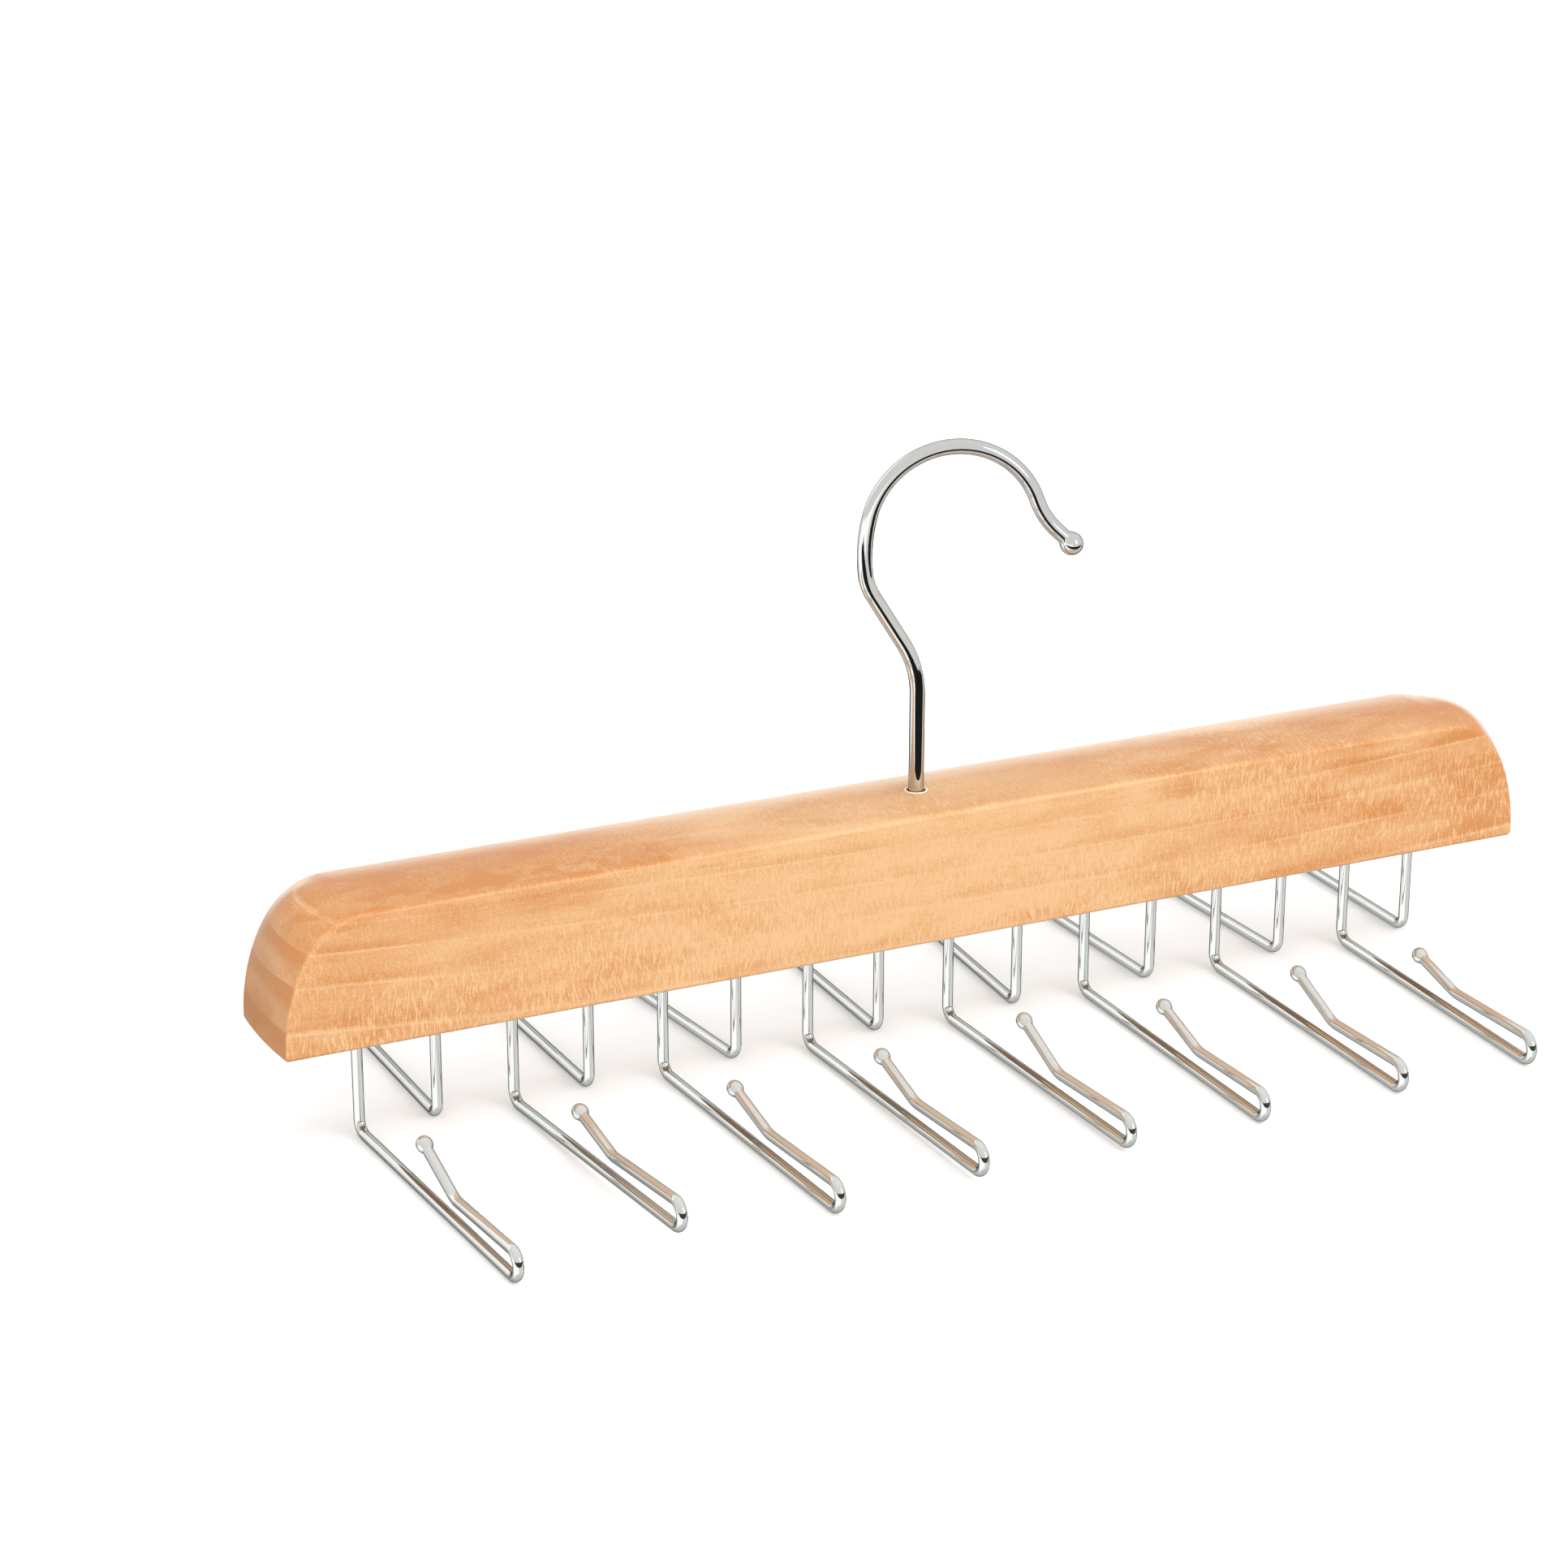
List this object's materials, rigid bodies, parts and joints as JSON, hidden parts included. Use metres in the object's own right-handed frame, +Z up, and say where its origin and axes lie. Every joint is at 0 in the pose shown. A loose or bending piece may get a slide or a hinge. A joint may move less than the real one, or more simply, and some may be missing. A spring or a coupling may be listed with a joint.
{
  "type": "tank top hanger",
  "caption": "Wooden bar hanger with a swivelling round-wire hook on top and rows of ball-ended wire strap hooks reaching out to the front and rear.",
  "frame": {"origin": "bottom centre of the bounding box: the floor plane that the strap hooks' arms rest on, below the swivel hook's shank", "axes": "+X along the bar, +Z up along the swivel hook's shank, -Y towards the front row of strap hooks"},
  "size_m": [0.3576, 0.19, 0.1589],
  "materials": {
    "wood": "satin clear lacquer over light orange-tan wood",
    "chromed_wire": "bright chrome plate",
    "plated_fastener": "zinc plate"
  },
  "bodies": {
    "hanger_bar": {"wooden_bar": "wood", "shank_washer": "plated_fastener", "front_strap_hook_1": "chromed_wire", "front_strap_hook_2": "chromed_wire", "front_strap_hook_3": "chromed_wire", "front_strap_hook_4": "chromed_wire", "front_strap_hook_5": "chromed_wire", "front_strap_hook_6": "chromed_wire", "front_strap_hook_7": "chromed_wire", "front_strap_hook_8": "chromed_wire", "rear_strap_hook_1": "chromed_wire", "rear_strap_hook_2": "chromed_wire", "rear_strap_hook_3": "chromed_wire", "rear_strap_hook_4": "chromed_wire", "rear_strap_hook_5": "chromed_wire", "rear_strap_hook_6": "chromed_wire", "rear_strap_hook_7": "chromed_wire", "rear_strap_hook_8": "chromed_wire"},
    "hook": {"swivel_hook": "chromed_wire", "shank_nut": "plated_fastener"}
  },
  "joints": [
    {"name": "hook_swivel", "type": "hinge", "parent": "hanger_bar", "child": "hook", "pos_m": [0, 0, 0.0665], "axis": [0, 0, 1], "continuous": true}
  ]
}
